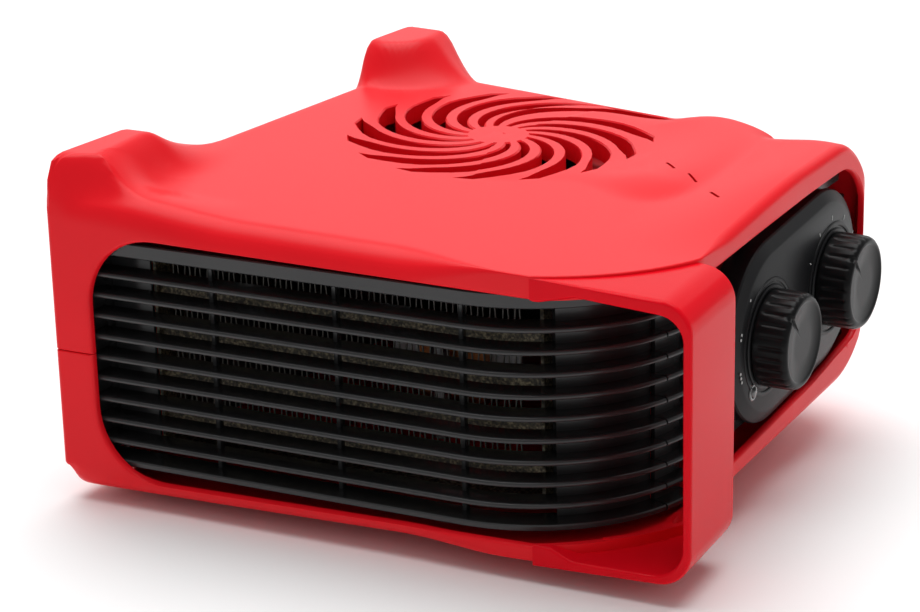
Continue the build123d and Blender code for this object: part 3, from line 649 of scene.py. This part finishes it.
def sweep(form, path, profile):
    """Sweeps a section of (depth, z) pairs along plan points."""
    form.loft([[(x + nx * depth, y + ny * depth, z) for depth, z in profile] for x, y, nx, ny in path])


def blade_section(z_top, depth):
    """A slat's section: a round nose in front, thinner towards the back."""
    nose = BLADE_T / 2
    middle = z_top - nose
    arc = [(nose - nose * cos(radians(a)), middle + nose * sin(radians(a))) for a in range(-90, 91, 30)]
    return arc + [(depth, middle + 0.55), (depth, middle - 0.55)]


def band_section(z0, z1, front, back, bevel=0.5):
    """An upright band's section, bevelled in front."""
    return [(back, z0), (front + bevel, z0), (front, z0 + bevel), (front, z1 - bevel), (front + bevel, z1),
            (back, z1)]


def front_grille(material):
    form = Form()
    whole = front_path(3.0, 0.0, GRILLE_END_DEG)
    for index in range(BLADES):
        sweep(form, whole, blade_section(BLADE_TOP_Z - index * BLADE_PITCH, BLADE_DEPTH))
    sweep(form, whole, band_section(103.0, 109.0, 0.0, 3.0))
    sweep(form, whole, band_section(107.2, 109.0, 2.6, BLADE_DEPTH, 0.2))
    sweep(form, whole, band_section(13.2, 15.8, 0.0, BLADE_DEPTH))
    sweep(form, front_path(None, WALL_START_DEG, GRILLE_END_DEG), band_section(13.4, 108.8, 9.0, 11.8, 0.3))
    back = GRILLE_Y + BLADE_DEPTH
    for x in (3.0, 57.0, 112.0, 166.0):
        form.box((x, x + 1.8), (back - 3.6, back - 0.1), (13.4, 108.8), 0.3)
    form.box((3.2, 5.4), (back - 7.0, 24.6), (13.4, 108.8), 0.4)
    form.box((4.0, 23.6), (22.6, 24.4), (13.4, 108.8), 0.4)
    form.box((196.4, 212.0), (30.0, 31.8), (14.0, 108.0), 0.4)
    return make("front_grille_slats", form, material, stands_for=["front_grille"],
                sharp=40.0)


def plate_window(z, margin):
    """Where the control plate's outline crosses a height, as its two ends in y."""
    ends = []
    for (y, centre_z), side in zip(PLATE_ENDS, (-1, 1)):
        reach = (PLATE_R + margin) ** 2 - (z - centre_z) ** 2
        ends.append(y + side * sqrt(reach) if reach > 0 else None)
    return ends


def side_louvre(material):
    form = Form()
    start_y = GRILLE_Y + GRILLE_R - GRILLE_R * cos(radians(GRILLE_END_DEG + 0.6))
    for index in range(BLADES):
        top = BLADE_TOP_Z - index * BLADE_PITCH
        rear = louvre_end(top)
        section = blade_section(top, 9.5)
        if top < 30.0:
            sweep(form, side_path(start_y, 64.0), section)
            continue
        window = plate_window(top - BLADE_T / 2, -1.2)
        if window[0] is None or window[1] is None:
            sweep(form, side_path(start_y, rear), section)
            continue
        sweep(form, side_path(start_y, window[0]), section)
        if window[1] < rear - 2:
            sweep(form, side_path(window[1], rear), section)
    sweep(form, side_path(start_y, louvre_end(108.4)), band_section(103.0, 108.4, 0.0, 3.0))
    sweep(form, side_path(62.0, 190.0), band_section(27.0, 35.4, 0.4, 3.0))
    sweep(form, side_path(start_y, 64.0), band_section(13.2, 15.8, 0.0, 9.5))
    sweep(form, side_path(start_y, 64.0), band_section(13.4, 108.2, 7.2, 9.4, 0.3))
    for y, top in ((66.0, 108.0), (205.0, 92.0)):
        front = GRILLE_CX + GRILLE_R + SIDE_SLOPE * max(0.0, y - GRILLE_Y - GRILLE_R) - 9.0
        form.box((front, front + 2.6), (y, y + 2.4), (28.0, top), 0.4)
    return make("side_louvre_slats", form, material, stands_for=["side_louvre"],
                sharp=40.0)


# ---- control panel ----
def stadium(grow):
    """The control plate's round-ended outline as (y, z) points."""
    (y0, z0), (y1, z1) = PLATE_ENDS
    tilt = atan2(z1 - z0, y1 - y0)
    points = []
    radius = PLATE_R + grow
    for (cy, cz), first in (((y1, z1), -90.0), ((y0, z0), 90.0)):
        for step in range(33):
            a = tilt + radians(first + 180.0 * step / 32)
            points.append((cy + radius * cos(a), cz + radius * sin(a)))
    return points


def control_plate(material):
    form = Form()
    levels = [(236.8, -0.6), (PLATE_X0 + 4.0, -0.6), (PLATE_X0 + 4.0, 0.0), (PLATE_X1 - 3.2, 0.0),
              (PLATE_X1 - 2.4, -0.5), (PLATE_X1 - 0.5, -4.6), (PLATE_X1, -5.6)]
    form.loft([[panel_point(x, y, z) for y, z in stadium(grow)] for x, grow in levels])
    for at in (SELECTOR_YZ, THERMOSTAT_YZ):
        ring = [(24.3, PLATE_X1 - 0.4), (24.1, PLATE_X1 + 0.35), (23.6, PLATE_X1 + 0.6),
                (22.9, PLATE_X1 + 0.6), (22.4, PLATE_X1 + 0.35), (22.2, PLATE_X1 - 0.3)]
        lathe(form, ring, at, 72)
        lathe(form, [(21.4, PLATE_X1 - 0.3), (21.4, PLATE_X1 + 0.5), (20.8, PLATE_X1 + 0.9)], at, 72)
    return make("control_face", form, material, stands_for=["control_plate"], sharp=30.0)


def knob(name, at, body, stands_for, material):
    """A fluted cap with a flat face inside a soft rim and a pointer notch at its edge."""
    form = Form()
    steps = KNOB_FLUTES * 12
    pointer = radians(132.0)
    end = KNOB_X + KNOB_LENGTH
    profile = [(-2.6, KNOB_X + 0.2, 0.0), (-0.5, KNOB_X, 0.0), (0.0, KNOB_X + 0.5, 0.0),
               (0.0, KNOB_X + 2.6, 0.0), (0.0, KNOB_X + 3.2, 1.0), (-0.2, end - 3.0, 1.0),
               (-0.35, end - 2.0, 0.6), (-0.8, end - 1.1, 0.15),
               (-1.6, end - 0.35, 0.0), (-2.6, end, 0.0), (-3.4, end - 0.25, 0.0), (-4.2, end - 0.75, 0.0),
               (-12.0, end - 0.85, 0.0), (-19.0, end - 0.85, 0.0)]
    rings = []
    for inset, x, flute in profile:
        ring = []
        for i in range(steps):
            a = 2 * pi * i / steps
            wave = 0.5 - 0.5 * cos(KNOB_FLUTES * a)
            away = abs((a - pointer + pi) % (2 * pi) - pi) * KNOB_R
            notch = smooth(1.7, 0.9, away)
            radius = KNOB_R + inset - flute * 0.6 * wave ** 4
            depth = 0.0
            if -12.0 < inset and x > end - 4.0:
                depth = 1.1 * notch
            ring.append(panel_point(x - depth, at[0] + radius * cos(a), at[1] + radius * sin(a)))
        rings.append(ring)
    form.loft(rings)
    return make(name, form, material, body, stands_for, sharp=42.0)


def mark_bar(form, y, z, length, width, turn):
    """A printed stroke that stands a hair above the panel."""
    a = radians(turn)

    def place(u, v, x):
        return panel_point(x, y + u * cos(a) - v * sin(a), z + u * sin(a) + v * cos(a))

    levels = (PLATE_X1 - 0.2, PLATE_X1 + 0.08)
    form.box((-length / 2, length / 2), (-width / 2, width / 2), levels, 0.05, place)


def printed_marks(material):
    """Plain position dots and strokes round the two knobs."""
    form = Form()
    radius = 27.6
    for angle, dots in ((131.0, 1), (163.0, 2), (199.0, 3)):
        for dot in range(dots):
            a = radians(angle + (dot - (dots - 1) / 2) * 4.2)
            at = (SELECTOR_YZ[0] + radius * cos(a), SELECTOR_YZ[1] + radius * sin(a))
            lathe(form, [(0.62, PLATE_X1 - 0.2), (0.62, PLATE_X1 + 0.05), (0.5, PLATE_X1 + 0.08)], at, 12)
    for step in range(9):
        angle = 60.0 + 240.0 / 8 * (8 - step) - 90.0
        a = radians(angle)
        at = (THERMOSTAT_YZ[0] + 26.2 * cos(a), THERMOSTAT_YZ[1] + 26.2 * sin(a))
        mark_bar(form, at[0], at[1], 1.2 + 0.22 * step, 0.5, angle)
    return make("panel_marks", form, material, sharp=30.0)


def pilot_lamp(lens_material):
    form = Form()
    x = PLATE_X1
    bezel = [(3.6, x - 0.3), (3.6, x + 0.25), (3.2, x + 0.6), (2.5, x + 0.6), (2.3, x + 0.2), (2.3, x - 0.2)]
    lens = [(2.15, x - 6.0), (2.15, x + 0.5), (1.9, x + 0.95), (1.3, x + 1.3), (0.6, x + 1.45),
            (0.15, x + 1.5)]
    lathe(form, bezel, PILOT_YZ, 36)
    lathe(form, lens, PILOT_YZ, 36)
    return make("pilot_lens", form, lens_material, stands_for=["pilot_lamp"], sharp=40.0)


# ---- heating element ----
def strip(index, material):
    """An insulating strip with notches where the wire hooks over its edges."""
    z = STRIP_LOW_Z + index * STRIP_PITCH
    half, notch = STRIP_H / 2, 0.9
    lower, upper = [], []
    count = int((ELEMENT_X1 - ELEMENT_X0 - 12.0) / LOOP_PITCH)
    for i in range(count):
        x = ELEMENT_X0 + 8.0 + i * LOOP_PITCH
        for offset, depth in ((-0.8, 0.0), (-0.5, notch), (0.5, notch), (0.8, 0.0)):
            lower.append((x + offset, z - half + depth))
            upper.append((x + offset, z + half - depth))
    outline = ([(ELEMENT_X0, z - half)] + lower + [(ELEMENT_X1, z - half), (ELEMENT_X1, z + half)]
               + upper[::-1] + [(ELEMENT_X0, z + half)])
    form = Form()
    form.loft([[(x, y, zz) for x, zz in outline] for y in (ELEMENT_Y, ELEMENT_Y + STRIP_T)])
    return make(f"mica_strip_{index + 1}", form, material,
                stands_for=[f"element_strip_{index + 1}"], sharp=30.0)


WIRE_SIDES = 6


def tube(form, path, radius):
    """A round wire along points that lie in one upright plane."""
    rings = []
    for i, (x, y, z) in enumerate(path):
        before, after = path[max(0, i - 1)], path[min(len(path) - 1, i + 1)]
        run, climb = after[0] - before[0], after[2] - before[2]
        length = hypot(run, climb)
        ux, uz = -climb / length, run / length
        ring = []
        for k in range(WIRE_SIDES):
            angle = 2 * pi * k / WIRE_SIDES
            ring.append((x + ux * radius * cos(angle), y + radius * sin(angle), z + uz * radius * cos(angle)))
        rings.append(ring)
    form.loft(rings)


def heating_wire(index, material):
    """Hairpin loops of wire that stand up from a strip towards the next one."""
    low = STRIP_LOW_Z + index * STRIP_PITCH + STRIP_H / 2 - 1.0
    high = low + STRIP_PITCH - STRIP_H + 0.6
    count = int((ELEMENT_X1 - ELEMENT_X0 - 12.0) / LOOP_PITCH)
    path = []
    for i in range(count):
        x = ELEMENT_X0 + 8.0 + i * LOOP_PITCH
        sway = 0.35 * sin(i * 2.3)
        for u, v in ((-1.5, 0.0), (-1.25, 0.3), (-0.95, 0.7), (-0.7, 0.9), (-0.3, 0.985), (0.0, 1.0), (0.3, 0.985),
                     (0.7, 0.9), (0.95, 0.7), (1.25, 0.3), (1.5, 0.0), (2.05, -0.07)):
            path.append((x + u * 1.0, ELEMENT_Y - 0.6 + sway, lerp(low, high, v)))
    form = Form()
    tube(form, path, 0.42)
    return make(f"wire_loops_{index + 1}", form, material,
                stands_for=[f"heating_wire_{index + 1}"], sharp=60.0)


# ---- materials ----
def shader(name, colour, metallic=0.0, coat=0.0, gloss=0.5):
    """A material and its principled shader, whose colour and roughness are linked by the caller."""
    material = bpy.data.materials.new(name)
    material.use_nodes = True
    bsdf = material.node_tree.nodes["Principled BSDF"]
    bsdf.inputs["Metallic"].default_value = metallic
    bsdf.inputs["Coat Weight"].default_value = coat
    bsdf.inputs["Coat Roughness"].default_value = 0.08
    bsdf.inputs["Specular IOR Level"].default_value = gloss
    material.diffuse_color = (*colour, 1.0)
    return material, bsdf


def noise(tree, scale, detail=3.0, stretch=(1.0, 1.0, 1.0)):
    """Noise over the object's own coordinates, with scale in features per metre."""
    where = tree.nodes.new("ShaderNodeTexCoord")
    mapping = tree.nodes.new("ShaderNodeMapping")
    mapping.inputs["Scale"].default_value = stretch
    texture = tree.nodes.new("ShaderNodeTexNoise")
    texture.inputs["Scale"].default_value = scale
    texture.inputs["Detail"].default_value = detail
    tree.links.new(where.outputs["Object"], mapping.inputs["Vector"])
    tree.links.new(mapping.outputs["Vector"], texture.inputs["Vector"])
    return texture


def ramp(tree, source, stops):
    node = tree.nodes.new("ShaderNodeValToRGB")
    while len(node.color_ramp.elements) < len(stops):
        node.color_ramp.elements.new(0.5)
    for element, (place, colour) in zip(node.color_ramp.elements, stops):
        element.position = place
        element.color = (*colour, 1.0)
    tree.links.new(source, node.inputs["Fac"])
    return node


def moulded(name, colour, roughness, grain=1800.0, relief=0.02, coat=0.0, metallic=0.0, spread_by=0.12,
            stretch=(1.0, 1.0, 1.0), gloss=0.5):
    """Moulded or worked surface: faint colour drift, uneven gloss and a fine relief."""
    material, bsdf = shader(name, colour, metallic, coat, gloss)
    tree = material.node_tree
    drift = noise(tree, 22.0, 4.0)
    dark = tuple(c * (1 - spread_by) for c in colour)
    light = tuple(min(1.0, c * (1 + spread_by)) for c in colour)
    tint = ramp(tree, drift.outputs["Fac"], [(0.3, dark), (0.7, light)])
    tree.links.new(tint.outputs["Color"], bsdf.inputs["Base Color"])
    fine = noise(tree, grain, 2.0, stretch)
    sheen = tree.nodes.new("ShaderNodeMapRange")
    sheen.inputs["To Min"].default_value = roughness * 0.88
    sheen.inputs["To Max"].default_value = roughness * 1.14
    tree.links.new(fine.outputs["Fac"], sheen.inputs["Value"])
    tree.links.new(sheen.outputs["Result"], bsdf.inputs["Roughness"])
    bump = tree.nodes.new("ShaderNodeBump")
    bump.inputs["Strength"].default_value = relief
    bump.inputs["Distance"].default_value = 0.0004
    tree.links.new(fine.outputs["Fac"], bump.inputs["Height"])
    tree.links.new(bump.outputs["Normal"], bsdf.inputs["Normal"])
    return material


def speckled(name):
    """Mica board: tan sheet with dark and pale flakes, its tans darkened by half as painted shade for the strips
    behind the grille.
    """
    material, bsdf = shader(name, (0.2, 0.15, 0.08))
    tree = material.node_tree
    flakes = noise(tree, 900.0, 5.0)
    # the flake tans are the board's own speckle, darkened by half as painted shade since the strips sit in shade
    # behind the grille
    tint = ramp(tree, flakes.outputs["Fac"], [(0.34, (0.012, 0.010, 0.007)), (0.47, (0.045, 0.034, 0.018)),
                                              (0.56, (0.10, 0.076, 0.04)), (0.68, (0.26, 0.21, 0.12))])
    tree.links.new(tint.outputs["Color"], bsdf.inputs["Base Color"])
    gloss = ramp(tree, flakes.outputs["Fac"], [(0.35, (0.65,) * 3), (0.65, (0.32,) * 3)])
    tree.links.new(gloss.outputs["Color"], bsdf.inputs["Roughness"])
    bump = tree.nodes.new("ShaderNodeBump")
    bump.inputs["Strength"].default_value = 0.25
    bump.inputs["Distance"].default_value = 0.0003
    tree.links.new(flakes.outputs["Fac"], bump.inputs["Height"])
    tree.links.new(bump.outputs["Normal"], bsdf.inputs["Normal"])
    return material


RED = moulded("gloss_red_shell", (0.84, 0.008, 0.016), 0.32, 2600.0, 0.05, spread_by=0.03, gloss=0.16)
HANDLE_RED = moulded("polished_red_handle", (0.76, 0.004, 0.013), 0.2, 1800.0, 0.02, spread_by=0.02,
                     gloss=0.07)
# the fan cover is the shell's red plastic, darkened to half as painted shade for the dim inside of the intake
SHADED_DUCT_RED = moulded("duct_red", (0.42, 0.008, 0.012), 0.5, 1500.0, 0.05)
GRILLE = moulded("grille_black", (0.026, 0.026, 0.027), 0.24, 1600.0, 0.04, gloss=0.45)
PANEL = moulded("panel_black", (0.008, 0.008, 0.009), 0.40, 2400.0, 0.10, gloss=0.2)
KNOB = moulded("knob_black", (0.006, 0.006, 0.0065), 0.30, 2200.0, 0.08, gloss=0.12)
IMPELLER = moulded("impeller_black", (0.014, 0.014, 0.015), 0.45, 1200.0, 0.06)
STEEL = moulded("lamination_steel", (0.42, 0.42, 0.43), 0.38, 900.0, 0.20, metallic=1.0, stretch=(1, 1, 14))
COPPER = moulded("enamelled_copper", (0.60, 0.22, 0.08), 0.32, 800.0, 0.35, metallic=1.0, stretch=(16, 1, 1))
BRONZE = moulded("sintered_bronze", (0.50, 0.32, 0.14), 0.45, 3000.0, 0.20, metallic=1.0)
ZINC = moulded("zinc_screw", (0.55, 0.56, 0.58), 0.33, 1500.0, 0.12, metallic=1.0)
WIRE = moulded("nichrome_wire", (0.10, 0.095, 0.085), 0.38, 2500.0, 0.10, metallic=0.8)
RUBBER = moulded("foot_rubber", (0.020, 0.020, 0.021), 0.75, 2000.0, 0.30)
CONTROL = moulded("switch_body", (0.55, 0.53, 0.48), 0.5, 1500.0, 0.08)
SHAFT = moulded("shaft_steel", (0.5, 0.5, 0.52), 0.25, 1800.0, 0.10, metallic=1.0, stretch=(1, 1, 10))
LENS = moulded("lamp_lens", (0.10, 0.10, 0.10), 0.18, 1500.0, 0.05, coat=0.5, metallic=0.3)
MARKS = moulded("mark_grey", (0.50, 0.50, 0.49), 0.6, 2000.0, 0.05)
SHADED_MICA = speckled("mica_board_painted_shade")

CAD_FINISH = {
    "air_duct": IMPELLER, "fan_cover": SHADED_DUCT_RED, "impeller": IMPELLER, "motor_shaft": SHAFT, "motor_rotor": STEEL,
    "motor_plate": STEEL, "motor_stator": STEEL, "motor_coil": COPPER, "motor_upper_bridge": STEEL,
    "motor_lower_bridge": STEEL, "motor_bushes": BRONZE, "motor_screws": ZINC, "housing_screws": ZINC,
    "terminal_screws": ZINC, "selector_shaft": SHAFT, "thermostat_shaft": SHAFT, "selector_switch": CONTROL,
    "thermostat_body": CONTROL, "element_frame": SHADED_MICA, "thermal_cutout": STEEL, "thermal_fuse": ZINC,
    "terminal_block": CONTROL, "cord_grommet": RUBBER,
}


def finish_cad_nodes():
    """Gives every CAD node that stays in view its own procedural material."""
    for name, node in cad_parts.items():
        if node.hide_render:
            continue
        material = CAD_FINISH.get(name, RUBBER)
        node.data.materials.clear()
        node.data.materials.append(material)
        node.data.set_sharp_from_angle(angle=radians(30.0))


# ---- studio ----
WORLD_STRENGTH, SUN_STRENGTH = 0.32, 2.88


def studio():
    ground = Form()
    half = 4000.0
    outline = rounded([(-half, -half), (half, -half), (half, half), (-half, half)], [900.0] * 4)
    base_z = foot_low.z * 1000 - SHIFT.z
    ground.loft([[(x, y, base_z - 10.0) for x, y in outline], [(x, y, base_z) for x, y in outline]])
    material = moulded("studio_floor", (0.93, 0.93, 0.93), 0.6, 300.0, 0.0, spread_by=0.004)
    obj = make("studio_ground", ground, material, None)

    world = bpy.context.scene.world or bpy.data.worlds.new("studio")
    bpy.context.scene.world = world
    world.use_nodes = True
    background = world.node_tree.nodes["Background"]
    background.inputs["Color"].default_value = (1.0, 1.0, 1.0, 1.0)
    background.inputs["Strength"].default_value = WORLD_STRENGTH

    centre = (CAD_BOX[0] + CAD_BOX[1]) / 2
    sun = bpy.data.lights.new("overhead", "SUN")
    sun.energy = SUN_STRENGTH
    sun.angle = radians(60.0)
    sky = bpy.data.objects.new("overhead", sun)
    sky.rotation_euler = Vector((0.12, -0.22, -1.0)).to_track_quat("-Z", "Y").to_euler()
    bpy.context.scene.collection.objects.link(sky)
    for name, offset, size, power in (("backdrop", (-0.85, 1.75, 0.85), (3.6, 1.1), 9.0),
                                      ("side", (1.3, -0.5, 0.8), (0.5, 0.5), 0.2)):
        light = bpy.data.lights.new(name, "AREA")
        light.shape = "RECTANGLE"
        light.size, light.size_y = size
        light.energy = power
        lamp = bpy.data.objects.new(name, light)
        lamp.location = centre + Vector(offset)
        lamp.rotation_euler = (-Vector(offset)).to_track_quat("-Z", "Y").to_euler()
        bpy.context.scene.collection.objects.link(lamp)
    bpy.context.scene.view_settings.view_transform = "Standard"


def camera():
    """A long lens a metre off, right of the front and above it."""
    lens = bpy.data.cameras.new("camera")
    lens.lens = 107.57
    lens.sensor_width = 36.0
    lens.clip_start = 0.05
    eye = bpy.data.objects.new("camera", lens)
    right = Vector((0.90037, 0.43460, -0.02139))
    forward = Vector((-0.41618, 0.84579, -0.33381))
    up = right.cross(forward)
    turn = Matrix((right, up, -forward)).transposed().to_4x4()
    eye.matrix_world = Matrix.Translation(frame_point(596.7, -861.3, 444.0)) @ turn
    bpy.context.scene.collection.objects.link(eye)
    bpy.context.scene.camera = eye


def main():
    corner = block((197.0, 275.0), (-5.0, 49.0), (12.5, 109.2))
    openings = [front_cutter(), corner, side_cutter()]
    shell("top_shell_moulding", True, RED, openings + [intake_cutter(), slits_cutter()])
    shell("bottom_shell_moulding", False, RED, openings + [screw_cutter(), inlet_cutter()])
    handle(HANDLE_RED)
    front_grille(GRILLE)
    side_louvre(GRILLE)
    control_plate(PANEL)
    knob("selector_cap", SELECTOR_YZ, "selector", ["selector_knob"], KNOB)
    knob("thermostat_cap", THERMOSTAT_YZ, "thermostat", ["thermostat_knob"], KNOB)
    printed_marks(MARKS)
    pilot_lamp(LENS)
    for index in range(STRIPS):
        strip(index, SHADED_MICA)
        heating_wire(index, WIRE)
    finish_cad_nodes()
    studio()
    camera()


main()
